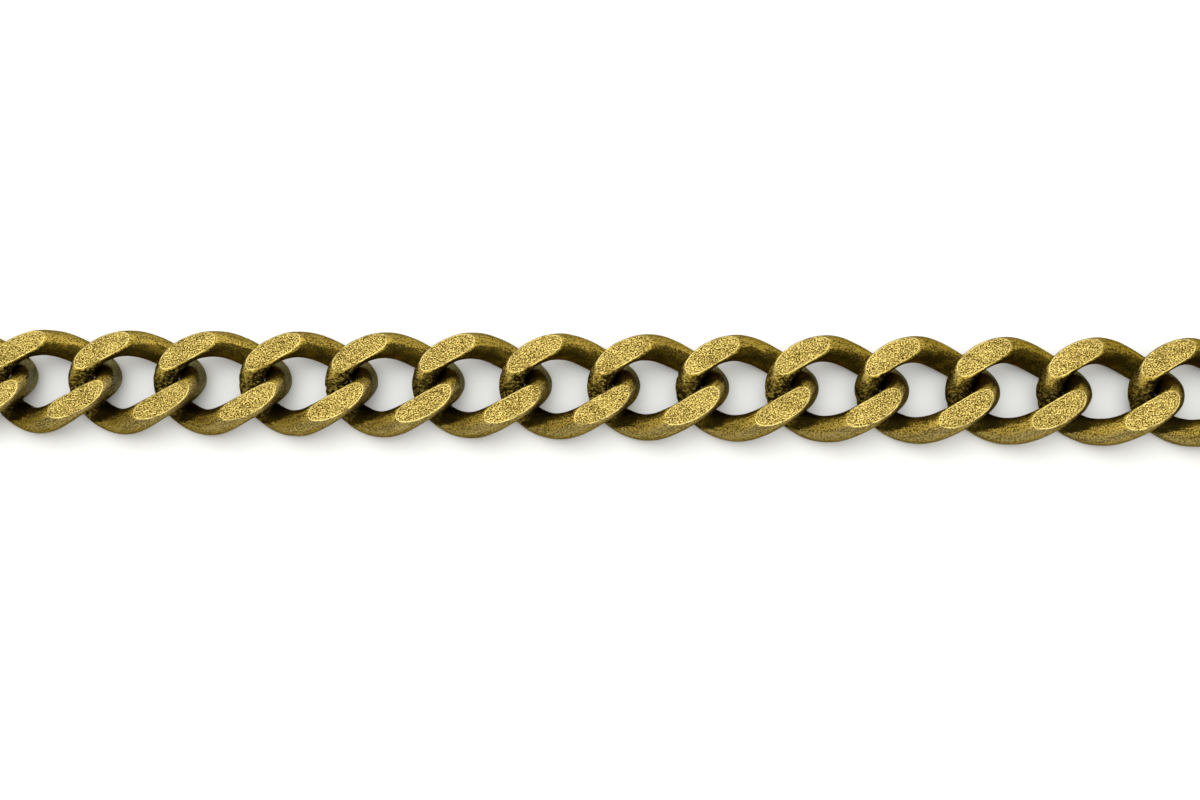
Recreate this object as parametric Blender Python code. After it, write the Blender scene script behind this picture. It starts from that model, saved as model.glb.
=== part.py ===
"""One foot of flat-ground curb chain, drawn out straight and lying on its ground faces.

Each link is an oval ring of thick wire, twisted about the chain's length and ground flat above and below.
X runs along the chain, Y across it and Z up. z = 0 is the surface that the chain lies on, and the origin is
halfway along the chain.
"""

import math

import bmesh
import bpy
from mathutils import Vector

# Driving dimensions, in metres
WIRE_DIAMETER = 0.0030  # along the sides of a link
END_DIAMETER = 0.0028  # at its ends, where the links pull on each other
SQUARENESS = 2.35  # of the wire along the sides: 2 is round, and more is squarer
LINK_LENGTH = 0.0163  # over the outside of a link
LINK_WIDTH = 0.0126  # over the outside of a link's oval, before it is twisted
THICKNESS = 0.0045  # between the upper and the lower ground faces
TWIST = math.radians(73)  # of one end of a link against the other
EARLY_TWIST = 0.4  # 0 spreads the twist evenly, and more puts it nearer the middle of the link
END_GAP = 0.00055  # along X, between the inner sides of two linked ends
LINK_COUNT = 29

# How finely a link is divided
STATIONS = 24  # cross-sections round the oval
SIDES = 12  # of each cross-section
SHARP_ANGLE = math.radians(45)  # an edge that turns more than this is shaded sharp
MERGE_DISTANCE = 0.00001

# Lengths that follow
WIRE_RADIUS = WIRE_DIAMETER / 2
END_RADIUS = END_DIAMETER / 2
HALF_LENGTH = LINK_LENGTH / 2 - END_RADIUS  # of the wire's centreline
HALF_WIDTH = LINK_WIDTH / 2 - WIRE_RADIUS
PITCH = 2 * (HALF_LENGTH - END_RADIUS) - END_GAP
MID_HEIGHT = THICKNESS / 2

# The finish: brass plate, darkened and rubbed back
BRASS_COLOUR = (0.30, 0.225, 0.065, 1.0)
BRASS_ROUGHNESS = 0.45
BRASS_METALLIC = 0.9


def clear_scene():
    """Removes the objects that the scene starts with."""
    for item in list(bpy.data.objects):
        bpy.data.objects.remove(item, do_unlink=True)


def brass():
    """The finish that all links share."""
    material = bpy.data.materials.new("antique_brass")
    material.use_nodes = True
    shader = material.node_tree.nodes["Principled BSDF"]
    shader.inputs["Base Color"].default_value = BRASS_COLOUR
    shader.inputs["Roughness"].default_value = BRASS_ROUGHNESS
    shader.inputs["Metallic"].default_value = BRASS_METALLIC
    material.diffuse_color = BRASS_COLOUR
    return material


def twist_at(x):
    """How far the link's plane has turned about X, at the distance x from the link's middle."""
    share = x / HALF_LENGTH
    return -TWIST / 2 * share * (1 + EARLY_TWIST * (1 - share * share))


def turned(x, y, angle):
    """The point (x, y, 0) after a turn about X."""
    return Vector((x, y * math.cos(angle), y * math.sin(angle)))


def centre_point(t):
    """A point of the wire's centreline, at the angle t round the oval."""
    x = HALF_LENGTH * math.cos(t)
    return turned(x, HALF_WIDTH * math.sin(t), twist_at(x))


def section(t):
    """The corners of the wire's cross-section at the angle t, which is round at the ends and squarish between."""
    step = 0.001
    centre = centre_point(t)
    along = (centre_point(t + step) - centre_point(t - step)).normalized()
    angle = twist_at(centre.x)
    above = Vector((0, -math.sin(angle), math.cos(angle)))
    outward = along.cross(above).normalized()
    above = outward.cross(along)
    end_share = (centre.x / HALF_LENGTH) ** 2
    radius = WIRE_RADIUS + (END_RADIUS - WIRE_RADIUS) * end_share
    power = SQUARENESS + (2 - SQUARENESS) * end_share
    corners = []
    for i in range(SIDES):
        w = 2 * math.pi * i / SIDES
        size = radius * (abs(math.cos(w)) ** power + abs(math.sin(w)) ** power) ** (-1 / power)
        corners.append(centre + size * (math.cos(w) * outward + math.sin(w) * above))
    return corners


def grind(bm, side):
    """Cuts the link flat above (side 1) or below (side -1) and closes the cut with level faces."""
    height = side * MID_HEIGHT
    bmesh.ops.bisect_plane(
        bm,
        geom=bm.verts[:] + bm.edges[:] + bm.faces[:],
        plane_co=(0, 0, height),
        plane_no=(0, 0, side),
        clear_outer=True,
    )
    bmesh.ops.remove_doubles(bm, verts=bm.verts[:], dist=MERGE_DISTANCE)
    rim = [edge for edge in bm.edges if edge.is_boundary]
    for edge in rim:
        for vert in edge.verts:
            vert.co.z = height
    bmesh.ops.edgeloop_fill(bm, edges=rim)


def link_mesh():
    """The mesh of one link, centred on its own middle."""
    bm = bmesh.new()
    rings = [[bm.verts.new(corner) for corner in section(2 * math.pi * i / STATIONS)] for i in range(STATIONS)]
    for i, ring in enumerate(rings):
        after = rings[(i + 1) % STATIONS]
        for j in range(SIDES):
            k = (j + 1) % SIDES
            bm.faces.new((ring[j], after[j], after[k], ring[k]))
    grind(bm, 1)
    grind(bm, -1)
    bmesh.ops.recalc_face_normals(bm, faces=bm.faces[:])
    mesh = bpy.data.meshes.new("curb_link")
    bm.to_mesh(mesh)
    bm.free()
    mesh.shade_smooth()
    mesh.set_sharp_from_angle(angle=SHARP_ANGLE)
    return mesh


def link_middle(number):
    """The middle of a link, counted from 1 at the -X end."""
    return Vector(((number - (LINK_COUNT + 1) / 2) * PITCH, 0, MID_HEIGHT))


def pivot_point(number):
    """The point that a link turns about, against the link before it.

    Even links turn round the wire at the end of the link before them, and odd links about the wire at their
    own near end.
    """
    if number % 2 == 0:
        return link_middle(number - 1) + Vector((HALF_LENGTH, 0, 0))
    return link_middle(number) - Vector((HALF_LENGTH, 0, 0))


def add_link(number, mesh, before):
    """One link. All but the first hang on an empty at their pivot, which hangs on the link before."""
    link = bpy.data.objects.new(f"link_{number:02d}", mesh)
    bpy.context.scene.collection.objects.link(link)
    link.location = link_middle(number)
    if before:
        pivot = bpy.data.objects.new(f"pivot_{number:02d}", None)
        bpy.context.scene.collection.objects.link(pivot)
        pivot.empty_display_size = WIRE_DIAMETER
        pivot.parent = before
        pivot.location = pivot_point(number) - link_middle(number - 1)
        link.parent = pivot
        link.location = link_middle(number) - pivot_point(number)
    return link


def build_chain():
    """All the links, from -X to +X."""
    mesh = link_mesh()
    mesh.materials.append(brass())
    link = None
    for number in range(1, LINK_COUNT + 1):
        link = add_link(number, mesh, link)


clear_scene()
build_chain()
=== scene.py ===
"""The looks of a straight run of flat-ground curb chain, in antique brass, on a plain pale floor.

Lengths are in metres. A link is worked out about its own middle, and then moved to where the frame has it.

Two angles give a place on a link. The angle t goes round the oval: 0 is at the +X end, 90 degrees is on the
+Y side and 180 degrees at the -X end. The angle w goes round the wire: 0 faces outward, 90 degrees is above
and 180 degrees faces the window.
"""

import math

import bpy
import numpy as np
from mathutils import Matrix, Vector
from mathutils.bvhtree import BVHTree
from mathutils.kdtree import KDTree


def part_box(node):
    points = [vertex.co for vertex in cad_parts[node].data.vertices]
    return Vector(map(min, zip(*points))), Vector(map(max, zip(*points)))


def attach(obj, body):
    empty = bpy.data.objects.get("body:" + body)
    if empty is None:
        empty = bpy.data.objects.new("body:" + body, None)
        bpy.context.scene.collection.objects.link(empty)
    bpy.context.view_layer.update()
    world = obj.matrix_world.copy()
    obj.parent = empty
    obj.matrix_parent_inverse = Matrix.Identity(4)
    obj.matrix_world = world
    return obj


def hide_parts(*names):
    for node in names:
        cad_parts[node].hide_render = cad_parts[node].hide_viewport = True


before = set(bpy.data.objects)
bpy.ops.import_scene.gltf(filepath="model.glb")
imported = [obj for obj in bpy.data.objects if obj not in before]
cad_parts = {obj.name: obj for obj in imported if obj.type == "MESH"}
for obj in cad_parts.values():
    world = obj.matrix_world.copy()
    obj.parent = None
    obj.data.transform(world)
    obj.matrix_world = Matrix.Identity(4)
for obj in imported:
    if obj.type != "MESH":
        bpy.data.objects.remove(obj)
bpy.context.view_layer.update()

MM = 0.001

# The link, as the frame has it
NODES = sorted(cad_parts)
LOW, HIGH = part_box(NODES[0])
WIRE_RADIUS = 1.5 * MM
END_RADIUS = 1.4 * MM
SQUARENESS = 2.35  # of the wire along the sides of a link: 2 is round, and more is squarer
HALF_LENGTH = (HIGH.x - LOW.x) / 2 - END_RADIUS
LAY_SHIFT = 0.02 * MM  # how far the links lie out of line, each way across the chain
LAY_TURN = math.radians(0.6)  # how far they are turned out of line, each way
HALF_WIDTH = (HIGH.y - LOW.y) / 2 - WIRE_RADIUS - LAY_SHIFT
HALF_THICKNESS = (HIGH.z - LOW.z) / 2
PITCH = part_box(NODES[1])[0].x - LOW.x
TWIST = math.radians(73)
EARLY_TWIST = 0.4  # more puts the twist nearer the middle of the link

# How uneven a link is
SEED = 7
RIM_ROUNDING = 0.32 * MM  # how far from the edge of a ground face its rounding starts
SWELL = 0.03 * MM  # the wire's slow unevenness
SWELL_LENGTH, SWELL_SCALE = 2.2 * MM, (0.5, 1, 1)
DENT_DEPTH, LEAST_DEPTH = 0.16 * MM, 0.5  # of the worst closed link, and of the best as a share of that
DENT_LENGTH, DENT_SCALE = 0.9 * MM, (0.8, 1, 0.8)
DENT_BAND = (0.2, 1.4)  # where in its random field a dent starts and is deepest
SEAT_FULLNESS = 0.13 * MM  # how much fuller the wire is where two ends bear on each other
WAVE_COUNT, WAVE_BAND = 28, (0.6, 1.4)  # of a random field: its waves, and their range of frequency

# How finely a link is divided
STATIONS = 172  # round the oval
SIDES = 78  # round the wire
SEAM = math.radians(34)  # where the counting round the oval starts, under the next link
TIP_CROWDING, TIP_REACH = 1.8, 0.1  # more stations at the tips of the ground faces, by a share of the height
EDGE_CROWDING, EDGE_REACH = 2.2, 0.15  # more sides at the edges of the ground faces, by an angle
EDGE_FADE = 0.2  # how far a plane may miss the wire, as a share of its height, before that stops
FINE_STATIONS, FINE_SIDES = 1440, 720  # of the grids that the ground faces are looked for on
ANGLE_STEP = 0.001  # for slopes
LEAST_RISE = 1e-4  # for directions that are level, which never meet a ground plane

# How a point's outlook is felt for
OUTLOOK_RAYS, OUTLOOK_REACH = 40, 7 * MM
OUTLOOK_LIFT = 0.02 * MM  # of their start, off the surface
OUTLOOK_PASSES = 3  # of evening out

# Where on a link its finish is worn or dark, and where shade or a reflection is painted on it. A pair is
# where that starts and where it is full. The place is along X, from -1 at the -X end to 1 at the +X end.
OUTWARD = (0.3, 0.8)  # by the cosine of w
WINDOW_SIDE = (-0.20, 0.55)  # by minus the cosine of w
BENT = (0.4, 0.7)  # by how far a station belongs to an end
OFF_RIM = (0.4 * MM, 1.8 * MM)  # by the distance from the ground faces
OPEN_WEAR = (0.35, 0.85)  # by the free share of the outlook
ROLLED_EDGE = 0.45 * MM  # how far the bright edges of the ground faces reach down the sides
HANDLED, HANDLED_SHARE = (-5, -30), 0.6  # by t, and how much of the patina hands take there
LEFT_TIP, LEFT_OUTSIDE = (0.75, 0.90), (0.5, 0.9)  # by minus the place and by the cosine of w
# Where a reflection of the floor is painted on the outer side of the +X end
GREY_END, GREY_START = (0.80, 0.92), (-28, -4)  # by the place and by t
GREY_BORDER, GREY_SLANT = 55, 2.2  # the upper border in w where t is 0, and what a degree of t adds
GREY_SOFTNESS = 12  # of that border, each way
GREY_UNDER = (-110, -70)  # by w
# Where shade is painted on: the creased hollow on the -Y side, and the flanks and outer strip of the -X end
CREASE_START = (-98, -110)  # by t
CREASE_BORDER, CREASE_SLANT = -105, 2.5  # the border in w where t is -180, and what a degree of t adds
CREASE_SOFTNESS = 30  # beyond that border
DARK_END, DARK_FLANKS = (0.70, 0.88), (80, 125)  # by minus the place, and by w either way
DARK_STRIP, STRIP_SHARE = (35, 5), 0.6  # by w either way, and how dark that is against the flanks
CLOSED_END, CLOSED_IN = (0.6, 0.8), (1, 0.85)  # by minus the place and by the free share of the outlook
TONE = 0.05  # how far links differ in how much they are rubbed, each way
LEAST_PRESSED = 0.35  # the weakest closing marks, as a share of the strongest

# The noises of the finish: how large their features are, and how their places are scaled
STIPPLE_SIZE = 0.16 * MM
MOTTLE_SIZE, MOTTLE_SCALE = 0.15 * MM, (0.7, 1, 1)
PATCH_SIZE, PATCH_SCALE = 1.0 * MM, (0.6, 1, 1)
STREAK_SIZE, STREAK_SCALE = 0.34 * MM, (0.12, 1, 1)
MARK_SIZE, MARK_SCALE = 0.25 * MM, (0.6, 1, 0.7)

# The bands of the finish, and the shares of the noises that break them up
FACE_BAND, FACE_PATCHES = (0.06 * MM, 0.14 * MM), 0.14 * MM  # by the distance inside the rim
EDGE_MIDDLE, EDGE_BAND = 0.05 * MM, (0.11 * MM, 0.04 * MM)  # inside the rim, and by the distance from there
EDGE_PATCHES = (0.34, 0.54)
RUBBED_BAND, RUBBED_STREAKS = (0.25, 0.75), 1.2
GRAIN_BAND, GRAIN_STREAKS = (0.36, 0.62), 0.4
BROWN_BAND = (0.46, 0.64)
# Painted shade: where a blocked outlook turns the patina near black, and how far the shade in the creases
# darkens it
CONTACT_SHADE_BAND, PAINTED_SHADE_DARKNESS = (0.05, 0.35), 0.65
# Painted reflection: how the outer +X end's share becomes a greyer reflected colour, broken up by the mottle
GREY_BAND, GREY_MOTTLE = (0.2, 0.8), 1.2
SOOT_BAND, FLECK_BAND = (0.45, 0.33), (0.49, 0.60)
PIT_BAND, BRIGHT_BAND, FACE_CLOUDS = (0.36, 0.50), (0.48, 0.66), 0.2
DULL_MOTTLE, DULL_STIPPLE = (0.3, 0.7), (0.4, 0.6)

# The relief of the finish, in millimetres, and its roughness, where a pair is for low and high spots
MOTTLE_HEIGHT, STIPPLE_HEIGHT, MARK_HEIGHT = 0.08, 0.06, 0.45
PATINA_ROUGHNESS, EDGE_ROUGHNESS = 0.42, 0.25
RUBBED_ROUGHNESS, FACE_ROUGHNESS = (0.36, 0.26), (0.50, 0.34)

# The floor
FLOOR_REACH = 30.0  # each way from the middle
FLOOR_COLOUR = (0.885, 0.892, 0.872, 1)
FLOOR_ROUGHNESS = 0.7
FLOOR_SHINE = 0.2

# The studio
SKY = 0.50  # the surroundings' even part
SOFTBOX = 1.59  # what a broad soft light above adds in its middle
SOFTBOX_WAY = Vector((0, 0.20, 0.98))
SOFTBOX_POWER = 1.44  # more makes it smaller

# The camera, as fitted to the photograph
PHOTO_WIDTH = 1200
SENSOR_WIDTH = 36.0
CAMERA_DISTANCE = 193.3 * MM
CAMERA_ELEVATION = math.radians(68.33)
CAMERA_SIDE = math.radians(3.96)
CAMERA_ROLL = math.radians(0.57)
CLIP_START = 10 * MM
PIXELS_PER_METRE = 8637.0  # at the target
TARGET = Vector((3.40 * MM, -0.76 * MM, 0))


def srgb(red, green, blue):
    """A colour given as a picture's values from 0 to 255."""
    values = [v / 255 for v in (red, green, blue)]
    return tuple(v / 12.92 if v <= 0.04045 else ((v + 0.055) / 1.055) ** 2.4 for v in values) + (1.0,)


# The colours of the finish
GROUND, BRIGHT, PIT = srgb(140, 118, 52), srgb(226, 202, 118), srgb(40, 32, 10)  # of a ground face
GOLD, HAZE = srgb(182, 155, 66), srgb(168, 148, 88)  # of rubbed wire, and of the outside of it
OLIVE, DUN = srgb(78, 64, 24), srgb(100, 86, 46)  # of the grain in those two
BROWN, UMBER, SOOT_AND_SHADE = srgb(98, 80, 24), srgb(62, 52, 16), srgb(22, 18, 6)  # of the patina, the last also for shade painted where links meet, in creases and on the -X end's flanks
PALE_REFLECTION, DIM_REFLECTION = srgb(148, 143, 112), srgb(104, 98, 70)  # of a reflection of the floor painted on the patina of the +X end
POLISH_AND_HIGHLIGHT, FLECK = srgb(230, 208, 124), srgb(198, 172, 80)  # of worn edges with a highlight painted along them, and between closing marks
GLINT = srgb(155, 142, 104)  # of reflections at a slant


def unit(rows):
    """The rows as unit vectors."""
    return rows / np.linalg.norm(rows, axis=-1, keepdims=True)


def ramp(value, start, full):
    """0 up to start, 1 from full on and even between, or the other way where full is the lower one."""
    return np.clip((value - start) / (full - start), 0, 1)


def bell(distance, reach):
    """1 in the middle, about a third at the reach and next to nothing at twice the reach."""
    return np.exp(-((distance / reach) ** 2))


def wrapped(angle, turn=math.tau):
    """The angle between half a turn back and half a turn on."""
    return (angle + turn / 2) % turn - turn / 2


def turn_at(x):
    """How far the link's plane has turned about X, at the distance x from the link's middle."""
    share = x / HALF_LENGTH
    return -TWIST / 2 * share * (1 + EARLY_TWIST * (1 - share**2))


def centre_line(t):
    """Points of the wire's centreline at the angles t round the oval."""
    x = HALF_LENGTH * np.cos(t)
    y = HALF_WIDTH * np.sin(t)
    return np.column_stack((x, y * np.cos(turn_at(x)), y * np.sin(turn_at(x))))


class Wire:
    """The wire's centreline and what is square to it, at stations with the angles t round the oval."""

    def __init__(self, t):
        self.t_degrees = wrapped(np.degrees(t), 360)
        self.centre = centre_line(t)
        along = unit(centre_line(t + ANGLE_STEP) - centre_line(t - ANGLE_STEP))
        turn = turn_at(self.centre[:, 0])
        above = np.column_stack((np.zeros_like(t), -np.sin(turn), np.cos(turn)))
        self.outward = unit(np.cross(along, above))
        self.above = np.cross(self.outward, along)
        self.place = self.centre[:, 0] / HALF_LENGTH
        self.end_share = self.place**2
        self.radius = WIRE_RADIUS + (END_RADIUS - WIRE_RADIUS) * self.end_share
        self.power = SQUARENESS + (2 - SQUARENESS) * self.end_share

    def directions(self, w):
        """Unit vectors from the centreline at the angles w, one row of them for each station."""
        return np.cos(w)[..., None] * self.outward[:, None] + np.sin(w)[..., None] * self.above[:, None]

    def reach(self, w):
        """How far the wire's surface is from its centreline at the angles w, before it is ground."""
        power = self.power[:, None]
        both = np.abs(np.cos(w)) ** power + np.abs(np.sin(w)) ** power
        return self.radius[:, None] * both ** (-1 / power)

    def cut(self, side):
        """Where the upper (side 1) or lower (side -1) ground plane cuts the wire at each station.

        Gives the share of the wire's height that the plane leaves, which is over 1 where it misses the wire,
        and the angles w of both edges of the cut.
        """
        w = np.linspace(0, math.tau, FINE_SIDES, endpoint=False)
        grid = np.broadcast_to(w, (len(self.centre), FINE_SIDES))
        height = side * self.reach(grid) * self.directions(grid)[..., 2]
        gap = HALF_THICKNESS - side * self.centre[:, 2]
        crest = w[height.argmax(axis=1)]
        off = wrapped(w - crest[:, None])
        taken = np.where(height > gap[:, None], off, 0)
        return gap / height.max(axis=1), crest + taken.min(axis=1), crest + taken.max(axis=1)


def evenly(count, weights, grid):
    """The places where the running total of the weights has grown by equal steps, from the grid's start."""
    total = np.concatenate(([0], np.cumsum((weights[1:] + weights[:-1]) / 2 * np.diff(grid))))
    return np.interp(np.arange(count) * total[-1] / count, total, grid)


def stations():
    """Angles round the oval, closer together at the tips of the ground faces."""
    grid = SEAM + np.linspace(0, math.tau, FINE_STATIONS)
    wire = Wire(grid)
    speed = np.linalg.norm(centre_line(grid + ANGLE_STEP) - centre_line(grid - ANGLE_STEP), axis=1)
    tips = sum(bell(wire.cut(side)[0] - 1, TIP_REACH) for side in (1, -1))
    return evenly(STATIONS, speed * (1 + TIP_CROWDING * tips), grid)


def side_angles(wire):
    """Angles round the wire for each station, closer together at the edges of the ground faces."""
    grid = np.linspace(0, math.tau, FINE_SIDES)
    weights = np.ones((len(wire.centre), FINE_SIDES))
    for side in (1, -1):
        left, first, last = wire.cut(side)
        near = ramp(left, 1 + EDGE_FADE, 1)[:, None]
        for edge in (first, last):
            weights += EDGE_CROWDING * near * bell(wrapped(grid - edge[:, None]), EDGE_REACH)
    return np.array([evenly(SIDES, row, grid) for row in weights])


def rounded_min(a, b, width):
    """The smaller of a and b, rounded over where they lie within width of each other."""
    near = ramp(np.abs(a - b), width, 0)
    return np.minimum(a, b) - near**2 * width / 4


def plane_distance(wire, rise):
    """How far the nearer ground plane is from the centreline, along directions that rise by that much."""
    gap = np.where(rise > 0, HALF_THICKNESS - wire.centre[:, 2:], HALF_THICKNESS + wire.centre[:, 2:])
    return gap / np.maximum(np.abs(rise), LEAST_RISE)


def link_points(wire, w, relief):
    """The surface of a link: the wire with its relief, cut by both ground planes."""
    ways = wire.directions(w)
    reach = wire.reach(w) - relief
    reach = rounded_min(reach, plane_distance(wire, ways[..., 2]), RIM_ROUNDING)
    return wire.centre[:, None] + reach[..., None] * ways


def link_faces():
    """The quads of a grid of stations and sides, closed both ways."""
    i, j = np.meshgrid(np.arange(STATIONS), np.arange(SIDES), indexing="ij")
    after, beside = (i + 1) % STATIONS, (j + 1) % SIDES
    corners = (i * SIDES + j, after * SIDES + j, after * SIDES + beside, i * SIDES + beside)
    return np.stack(corners, axis=-1).reshape(-1, 4)


def rim_distance(wire, w, points):
    """How far each point lies inside the edge of its ground face, and below zero outside."""
    fine = Wire(np.linspace(0, math.tau, FINE_STATIONS, endpoint=False))
    edges = []
    for side in (1, -1):
        left, first, last = fine.cut(side)
        for w_edge in (first[:, None], last[:, None]):
            edge = fine.centre + fine.reach(w_edge) * fine.directions(w_edge)[:, 0]
            edges.extend(edge[left < 1])
    tree = KDTree(len(edges))
    for i, edge in enumerate(edges):
        tree.insert(edge, i)
    tree.balance()
    away = np.array([tree.find(point)[2] for point in points.reshape(-1, 3)]).reshape(w.shape)
    ground = plane_distance(wire, wire.directions(w)[..., 2]) < wire.reach(w)
    return np.where(ground, away, -away)


def surface_normals(points):
    """Outward normals of a closed grid of points."""
    along = np.roll(points, -1, 0) - np.roll(points, 1, 0)
    around = np.roll(points, -1, 1) - np.roll(points, 1, 1)
    return unit(np.cross(along, around))


def outlook_fan():
    """Directions over the half sphere about Z, each turned on by the golden angle from the one before."""
    order = np.arange(OUTLOOK_RAYS)
    height = np.sqrt((order + 0.5) / OUTLOOK_RAYS)
    spread = np.sqrt(1 - height**2)
    heading = order * math.pi * (3 - math.sqrt(5))
    return np.column_stack((spread * np.cos(heading), spread * np.sin(heading), height))


def openness(points, faces):
    """How much of its outlook each point of a middle link has free of itself and its two neighbours."""
    flat = points.reshape(-1, 3)
    verts = np.concatenate([flat + [k * PITCH, 0, 0] for k in (-1, 0, 1)])
    polygons = np.concatenate([faces + k * len(flat) for k in range(3)])
    tree = BVHTree.FromPolygons(verts.tolist(), polygons.tolist())
    fan = outlook_fan()
    normals = surface_normals(points).reshape(-1, 3)
    helper = np.where(np.abs(normals[:, :1]) < 0.7, [[1, 0, 0]], [[0, 1, 0]])  # X, or Y for a normal near X
    across = unit(np.cross(normals, helper))
    upright = np.cross(normals, across)
    seen = []
    for p, n, a, u in zip(flat + OUTLOOK_LIFT * normals, normals, across, upright):
        start = Vector(p)
        hits = (tree.ray_cast(start, Vector(way), OUTLOOK_REACH)[0] for way in fan @ np.array((a, u, n)))
        seen.append(sum(hit is None for hit in hits) / OUTLOOK_RAYS)
    seen = np.array(seen).reshape(points.shape[:2])
    for _ in range(OUTLOOK_PASSES):
        for axis in (0, 1):
            seen = (np.roll(seen, 1, axis) + 2 * seen + np.roll(seen, -1, axis)) / 4
    return seen


def wire_place(wire, w):
    """The place of each face's corners on the wire, as if it were drawn out straight."""
    steps = np.linalg.norm(wire.centre - np.roll(wire.centre, 1, 0), axis=1)
    run = np.concatenate(([0], np.cumsum(np.roll(steps, -1))))
    run = np.broadcast_to(run[:, None], (STATIONS + 1, SIDES))
    around = np.concatenate((w, w[:1]))
    place = np.stack((run, WIRE_RADIUS * np.cos(around), WIRE_RADIUS * np.sin(around)), axis=-1)
    beside = np.roll(place, -1, 1)
    return np.stack((place[:-1], place[1:], beside[1:], beside[:-1]), axis=2)


def waves(rng, places, length):
    """A smooth random field of about unit size at the places, with features about as long as length."""
    ways = unit(rng.normal(size=(WAVE_COUNT, 3)))
    frequencies = math.tau / length * rng.uniform(*WAVE_BAND, (WAVE_COUNT, 1))
    shifts = rng.uniform(0, math.tau, WAVE_COUNT)
    return np.cos(places @ (ways * frequencies).T + shifts).sum(axis=-1) * math.sqrt(2 / WAVE_COUNT)


def seat_share(wire, w):
    """How far each point belongs to the inner side of an end, where the next link bears on it."""
    return wire.end_share[:, None] ** 3 * np.clip(-np.cos(w), 0, 1) ** 2


def link_relief(rng, points, closing, seat):
    """How deep a link's surface lies below its ideal one.

    It has a slow swell, dents where it was closed, and a little more wire where the next link bears on it.
    """
    swell = SWELL * ramp(waves(rng, points * SWELL_SCALE, SWELL_LENGTH), -1, 1)
    dents = ramp(waves(rng, points * DENT_SCALE, DENT_LENGTH), *DENT_BAND)
    depth = DENT_DEPTH * rng.uniform(LEAST_DEPTH, 1) * closing
    return swell + depth * dents - SEAT_FULLNESS * seat


def rubbed_share(wire, w, rim, open_share, painted_shade):
    """How far handling has rubbed each point back to brass.

    Open places are rubbed, but little where they face the window, away from the ground faces on the bends,
    outside on the -X end and where shade is painted in the creases. Hands reach the part of the +X end
    below its middle, so it keeps less of its patina. The rolled edges of the ground faces are always bright.
    """
    place = wire.place[:, None]
    window_side = ramp(-np.cos(w), *WINDOW_SIDE)
    handled = HANDLED_SHARE * (place > 0) * ramp(wire.t_degrees[:, None], *HANDLED)
    bent = ramp(wire.end_share[:, None], *BENT) * ramp(-rim, *OFF_RIM) * (1 - handled)
    left_tip = ramp(-place, *LEFT_TIP) * ramp(np.cos(w), *LEFT_OUTSIDE)
    bare = (1 - window_side) * (1 - bent) * (1 - left_tip) * (1 - painted_shade)
    return np.maximum(ramp(open_share, *OPEN_WEAR) * bare, ramp(rim, -ROLLED_EDGE, 0))


def floor_reflection_share(wire, w):
    """How far each point belongs to the outer side of the +X end, where a reflection of the floor is painted
    on.

    It fades away below the middle of the end, and its upper border leans.
    """
    t, around = wire.t_degrees[:, None], wrapped(np.degrees(w), 360)
    border = GREY_BORDER + GREY_SLANT * t
    at_end = ramp(wire.place[:, None], *GREY_END) * ramp(t, *GREY_START)
    below_border = ramp(around, border + GREY_SOFTNESS, border - GREY_SOFTNESS)
    return at_end * below_border * ramp(around, *GREY_UNDER)


def painted_shade_share(wire, w):
    """How far shade is painted onto each point, by darkening its patina colour towards black.

    That is in the creased hollow in front of the link before, on the -Y side, and on both flanks of the -X
    end. A strip along the outside of that end gets painted shade too, but less.
    """
    t, around = wire.t_degrees[:, None], wrapped(np.degrees(w), 360)
    border = CREASE_BORDER + CREASE_SLANT * (t + 180)
    painted_shade = ramp(t, *CREASE_START) * ramp(around, border, border + CREASE_SOFTNESS)
    off = np.abs(around)
    dark = np.maximum(ramp(off, *DARK_FLANKS), STRIP_SHARE * ramp(off, *DARK_STRIP))
    return np.maximum(painted_shade, ramp(-wire.place[:, None], *DARK_END) * dark)


def closing_share(wire, open_share):
    """How far each point lies where pliers closed the link, which is at its -X end."""
    return ramp(-wire.place[:, None], *CLOSED_END) * ramp(open_share, *CLOSED_IN)


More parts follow.
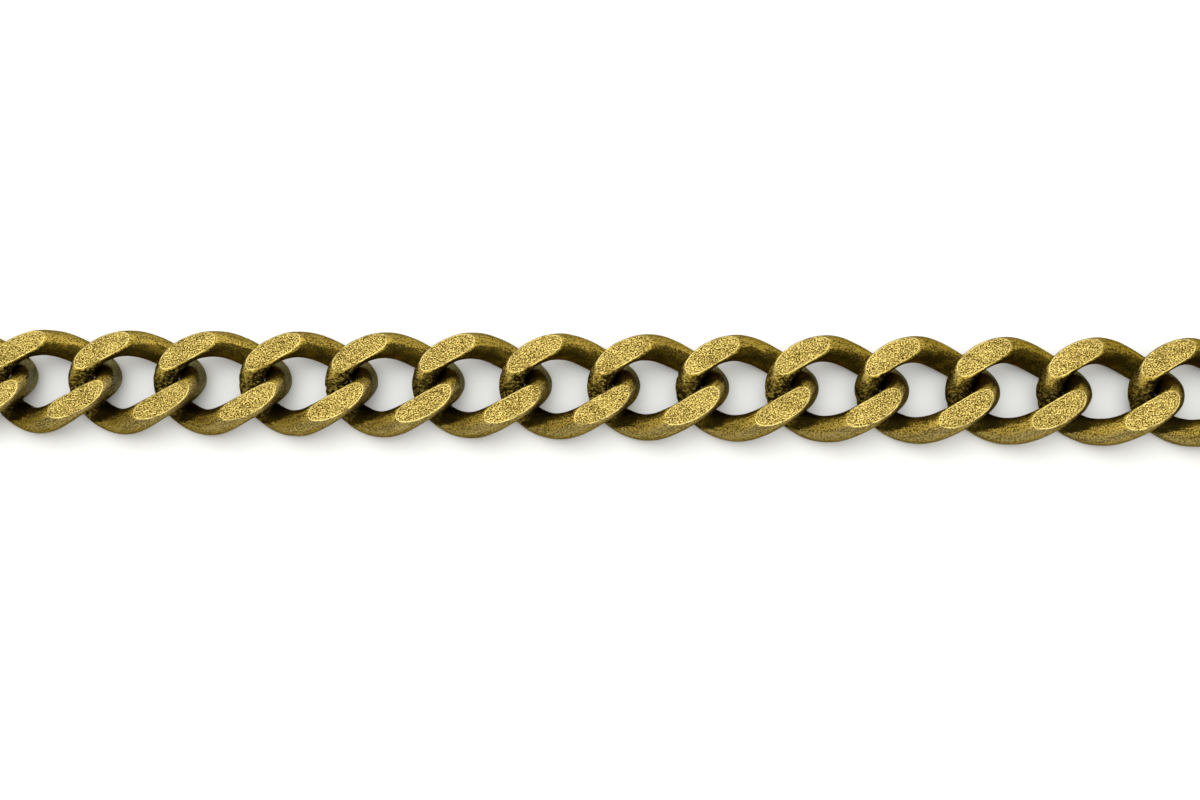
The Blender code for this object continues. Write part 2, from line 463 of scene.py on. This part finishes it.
class Finish:
    """A node material, built up in few words."""

    def __init__(self, name):
        self.material = bpy.data.materials.new(name)
        self.material.use_nodes = True
        self.tree = self.material.node_tree
        self.surface = self.tree.nodes["Principled BSDF"].inputs

    def fill(self, sockets, values):
        """Gives the named sockets their values, which may be what other nodes put out."""
        for name, value in values.items():
            if isinstance(value, bpy.types.NodeSocket):
                self.tree.links.new(value, sockets[name])
            else:
                sockets[name].default_value = value

    def node(self, kind, values=None, **settings):
        """A new node with those inputs and settings."""
        made = self.tree.nodes.new(kind)
        for name, value in settings.items():
            setattr(made, name, value)
        self.fill(made.inputs, values or {})
        return made

    def attribute(self, name, output="Fac"):
        """What the mesh keeps under that name."""
        return self.node("ShaderNodeAttribute", attribute_name=name).outputs[output]

    def maths(self, operation, *values):
        """What the operation makes of the values."""
        return self.node("ShaderNodeMath", dict(enumerate(values)), operation=operation).outputs[0]

    def add(self, first, second):
        """Both together."""
        return self.maths("ADD", first, second)

    def times(self, first, second):
        """One times the other."""
        return self.maths("MULTIPLY", first, second)

    def centred(self, noise):
        """The noise as a swing about 0."""
        return self.maths("SUBTRACT", noise, 0.5)

    def band(self, value, start, full):
        """0 up to start, 1 from full on and smooth between, or the other way where full is the lower one."""
        limits = {"From Min": min(start, full), "From Max": max(start, full)}
        shares = {"To Min": float(start > full), "To Max": float(full > start)}
        values = {"Value": value, **limits, **shares}
        return self.node("ShaderNodeMapRange", values, interpolation_type="SMOOTHSTEP").outputs[0]

    def noise(self, place, size, detail=2.0, roughness=0.6):
        """Noise with features of that size at the place."""
        values = {"Vector": place, "Scale": 1 / size, "Detail": detail, "Roughness": roughness}
        return self.node("ShaderNodeTexNoise", values).outputs["Fac"]

    def scaled(self, place, scale):
        """The place scaled, so that noise there is drawn out where the scale is below 1."""
        return self.node("ShaderNodeMapping", {"Vector": place, "Scale": scale}).outputs[0]

    def mixed(self, kind, ending, share, first, second):
        """Two values of that kind mixed. The node's sockets for the kind have names with that ending."""
        made = self.node("ShaderNodeMix", data_type=kind)
        inputs = {socket.identifier: socket for socket in made.inputs}
        outputs = {socket.identifier: socket for socket in made.outputs}
        self.fill(inputs, {"Factor_Float": share, f"A_{ending}": first, f"B_{ending}": second})
        return outputs[f"Result_{ending}"]

    def mix(self, share, first, second):
        """Mixed colours."""
        return self.mixed("RGBA", "Color", share, first, second)

    def blend(self, share, first, second):
        """Mixed numbers."""
        return self.mixed("FLOAT", "Float", share, first, second)

    def bump(self, height):
        """The normals of a surface that stands that many millimetres high."""
        return self.node("ShaderNodeBump", {"Height": height, "Distance": MM, "Strength": 1.0}).outputs[0]


class AntiqueBrass(Finish):
    """Brass plate, darkened and rubbed bright where hands reach it; shade, a reflection and highlights are
    painted in.
    """

    def __init__(self):
        super().__init__("antique_brass")
        self.lay_noises()
        self.find_faces()
        self.rubbed = self.rubbed_back()
        self.closing = self.attribute("closing")
        colour = self.mix(self.on_face, self.side_colour(), self.face_colour())
        self.fill(self.surface, {
            # The edge band is worn brass with a highlight painted along it
            "Base Color": self.mix(self.worn_edge_and_highlight, colour, POLISH_AND_HIGHLIGHT),
            "Metallic": 1.0,
            "Specular Tint": GLINT,
            "Roughness": self.roughness(),
            "Normal": self.bump(self.height()),
        })

    def lay_noises(self):
        """The noises that the looks share, and three of them as swings about 0."""
        place = self.node("ShaderNodeTexCoord").outputs["Object"]
        wire_place = self.attribute("wire_place", "Vector")
        self.stipple = self.noise(place, STIPPLE_SIZE)
        self.mottle = self.noise(self.scaled(place, MOTTLE_SCALE), MOTTLE_SIZE)
        self.patches = self.noise(self.scaled(place, PATCH_SCALE), PATCH_SIZE, detail=3.0)
        self.marks = self.noise(self.scaled(place, MARK_SCALE), MARK_SIZE, detail=4.0, roughness=0.7)
        streaks = self.noise(self.scaled(wire_place, STREAK_SCALE), STREAK_SIZE, detail=3.0)
        self.fine, self.broad, self.long = map(self.centred, (self.mottle, self.patches, streaks))

    def find_faces(self):
        """Where the ground faces are, and their polished edges with a painted highlight, both with a ragged
        border.
        """
        ragged = self.add(self.attribute("rim"), self.times(self.broad, FACE_PATCHES))
        off_edge = self.maths("ABSOLUTE", self.maths("SUBTRACT", ragged, EDGE_MIDDLE))
        self.on_face = self.band(ragged, *FACE_BAND)
        self.worn_edge_and_highlight = self.times(self.band(off_edge, *EDGE_BAND), self.band(self.patches, *EDGE_PATCHES))

    def rubbed_back(self):
        """Where handling has taken the patina off, in streaks and specks."""
        uneven = self.add(self.times(self.long, RUBBED_STREAKS), self.fine)
        share = self.add(self.add(self.attribute("rubbed"), uneven), self.attribute("tone"))
        return self.band(share, *RUBBED_BAND)

    def patina_colour(self):
        """Patina where hands don't reach, with shade painted near black where links meet and in the creases.
        """
        colour = self.mix(self.band(self.add(self.patches, self.fine), *BROWN_BAND), UMBER, BROWN)
        # Painted shade: near black where links meet and block the outlook, then darker in the creased hollow
        # and on the -X end's flanks
        colour = self.mix(self.band(self.attribute("open"), *CONTACT_SHADE_BAND), SOOT_AND_SHADE, colour)
        return self.mix(self.times(self.attribute("painted_shade"), PAINTED_SHADE_DARKNESS), colour, SOOT_AND_SHADE)

    def side_colour(self):
        """The wire beside the ground faces: patina, grained gold where rubbed, a painted reflection, and
        marked ends.
        """
        grain = self.band(self.add(self.mottle, self.times(self.long, GRAIN_STREAKS)), *GRAIN_BAND)
        outer = self.attribute("outer")
        gold = self.mix(grain, self.mix(outer, OLIVE, DUN), self.mix(outer, GOLD, HAZE))
        colour = self.mix(self.rubbed, self.patina_colour(), gold)
        # Painted reflection: the outer side of the +X end greyer and paler, as if it mirrored the floor
        painted_reflection = self.band(self.add(self.attribute("painted_reflection"), self.times(self.fine, GREY_MOTTLE)), *GREY_BAND)
        colour = self.mix(painted_reflection, colour, self.mix(grain, DIM_REFLECTION, PALE_REFLECTION))
        colour = self.mix(self.times(self.closing, self.band(self.marks, *SOOT_BAND)), colour, SOOT_AND_SHADE)
        return self.mix(self.times(self.closing, self.band(self.marks, *FLECK_BAND)), colour, FLECK)

    def face_colour(self):
        """A ground face, with pits and bright spots."""
        cloudy = self.add(self.stipple, self.times(self.broad, FACE_CLOUDS))
        colour = self.mix(self.band(cloudy, *PIT_BAND), PIT, GROUND)
        return self.mix(self.band(cloudy, *BRIGHT_BAND), colour, BRIGHT)

    def roughness(self):
        """How dull the surface is: most on the patina and in the faces' pits, least along their edges."""
        rubbed = self.blend(self.band(self.mottle, *DULL_MOTTLE), *RUBBED_ROUGHNESS)
        side = self.blend(self.rubbed, PATINA_ROUGHNESS, rubbed)
        face = self.blend(self.band(self.stipple, *DULL_STIPPLE), *FACE_ROUGHNESS)
        return self.blend(self.worn_edge_and_highlight, self.blend(self.on_face, side, face), EDGE_ROUGHNESS)

    def height(self):
        """How high the surface stands in its finest relief, in millimetres."""
        marks = self.times(self.times(self.closing, self.marks), MARK_HEIGHT)
        side = self.add(self.times(self.mottle, MOTTLE_HEIGHT), marks)
        return self.blend(self.on_face, side, self.times(self.stipple, STIPPLE_HEIGHT))


def finish_places(wire, w, points, faces):
    """What the finish goes by at each point of a link, under the names of the mesh's attributes."""
    rim = rim_distance(wire, w, points)
    open_share = openness(points, faces)
    painted_shade = painted_shade_share(wire, w)
    return {
        "rim": rim,
        "rubbed": rubbed_share(wire, w, rim, open_share, painted_shade),
        "open": open_share,
        "painted_reflection": floor_reflection_share(wire, w),
        "painted_shade": painted_shade,
        "outer": ramp(np.cos(w), *OUTWARD),
        "closing": closing_share(wire, open_share),
    }


def link_mesh(name, points, faces):
    """A smooth mesh of the points."""
    mesh = bpy.data.meshes.new(name)
    mesh.from_pydata(points.reshape(-1, 3).tolist(), [], faces.tolist())
    mesh.shade_smooth()
    return mesh


def store(mesh, name, values, kind="FLOAT", domain="POINT"):
    """Keeps the values as an attribute of the mesh."""
    layer = mesh.attributes.new(name, kind, domain)
    key = "vector" if kind == "FLOAT_VECTOR" else "value"
    layer.data.foreach_set(key, np.asarray(values, np.float32).ravel())


def lay_link(rng, mesh, node):
    """Puts a link where its node is, a little out of line."""
    low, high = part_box(node)
    middle = (low + high) / 2 + Vector((0, LAY_SHIFT * rng.uniform(-1, 1), 0))
    turn = Matrix.Rotation(LAY_TURN * rng.uniform(-1, 1), 4, "Z")
    mesh.transform(Matrix.Translation(middle) @ turn)
    link = bpy.data.objects.new(mesh.name, mesh)
    bpy.context.scene.collection.objects.link(link)
    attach(link, node)
    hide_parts(node)


def build_links():
    """One fine mesh for each of the frame's links, in its place."""
    wire = Wire(stations())
    w = side_angles(wire)
    faces = link_faces()
    plain = link_points(wire, w, 0.0)
    places = finish_places(wire, w, plain, faces)
    closing = places["closing"]
    seat = seat_share(wire, w)
    on_wire = wire_place(wire, w)
    material = AntiqueBrass().material
    for number, node in enumerate(NODES, 1):
        rng = np.random.default_rng([SEED, number])
        shift = rng.uniform(-1, 1, 3)
        points = link_points(wire, w, link_relief(rng, plain, closing, seat))
        mesh = link_mesh(f"curb_{node}", points, faces)
        pressed = LEAST_PRESSED + (1 - LEAST_PRESSED) * abs(shift[2])
        tone = np.full(w.shape, rng.uniform(-TONE, TONE))
        for name, values in {**places, "closing": closing * pressed, "tone": tone}.items():
            store(mesh, name, values)
        store(mesh, "wire_place", on_wire + shift, "FLOAT_VECTOR", "CORNER")
        mesh.materials.append(material)
        lay_link(rng, mesh, node)


def add_floor():
    """A plain pale floor."""
    mesh = bpy.data.meshes.new("floor")
    corners = [(x * FLOOR_REACH, y * FLOOR_REACH, 0) for x, y in ((-1, -1), (1, -1), (1, 1), (-1, 1))]
    mesh.from_pydata(corners, [], [(0, 1, 2, 3)])
    finish = Finish("pale_floor")
    looks = {"Base Color": FLOOR_COLOUR, "Roughness": FLOOR_ROUGHNESS, "Specular IOR Level": FLOOR_SHINE}
    finish.fill(finish.surface, looks)
    mesh.materials.append(finish.material)
    floor = bpy.data.objects.new("floor", mesh)
    bpy.context.scene.collection.objects.link(floor)


def add_studio():
    """White surroundings, with a soft light above and a little behind."""
    world = bpy.data.worlds.new("studio")
    world.use_nodes = True
    nodes, links = world.node_tree.nodes, world.node_tree.links
    way = nodes.new("ShaderNodeTexCoord")
    towards = nodes.new("ShaderNodeVectorMath")
    towards.operation = "DOT_PRODUCT"
    towards.inputs[1].default_value = SOFTBOX_WAY.normalized()
    links.new(way.outputs["Generated"], towards.inputs[0])
    value = towards.outputs["Value"]
    steps = (("MAXIMUM", 0.0), ("POWER", SOFTBOX_POWER), ("MULTIPLY", SOFTBOX), ("ADD", SKY))
    for operation, second in steps:
        step = nodes.new("ShaderNodeMath")
        step.operation = operation
        links.new(value, step.inputs[0])
        step.inputs[1].default_value = second
        value = step.outputs[0]
    background = nodes["Background"]
    background.inputs["Color"].default_value = (1, 1, 1, 1)
    links.new(value, background.inputs["Strength"])
    bpy.context.scene.world = world
    bpy.context.scene.view_settings.view_transform = "Standard"


def add_camera():
    """A camera that sees the chain from the photograph's angle."""
    back = Vector((
        math.sin(CAMERA_SIDE),
        -math.cos(CAMERA_SIDE) * math.cos(CAMERA_ELEVATION),
        math.cos(CAMERA_SIDE) * math.sin(CAMERA_ELEVATION),
    ))
    right = (Vector((1, 0, 0)) - back.x * back).normalized()
    up = back.cross(right)
    turn = Matrix((right, up, back)).transposed() @ Matrix.Rotation(CAMERA_ROLL, 3, "Z")
    data = bpy.data.cameras.new("camera")
    data.sensor_width = SENSOR_WIDTH
    data.lens = PIXELS_PER_METRE * CAMERA_DISTANCE / PHOTO_WIDTH * SENSOR_WIDTH
    data.clip_start = CLIP_START
    camera = bpy.data.objects.new("camera", data)
    camera.matrix_world = Matrix.Translation(TARGET + CAMERA_DISTANCE * back) @ turn.to_4x4()
    bpy.context.scene.collection.objects.link(camera)
    bpy.context.scene.camera = camera


build_links()
add_floor()
add_studio()
add_camera()
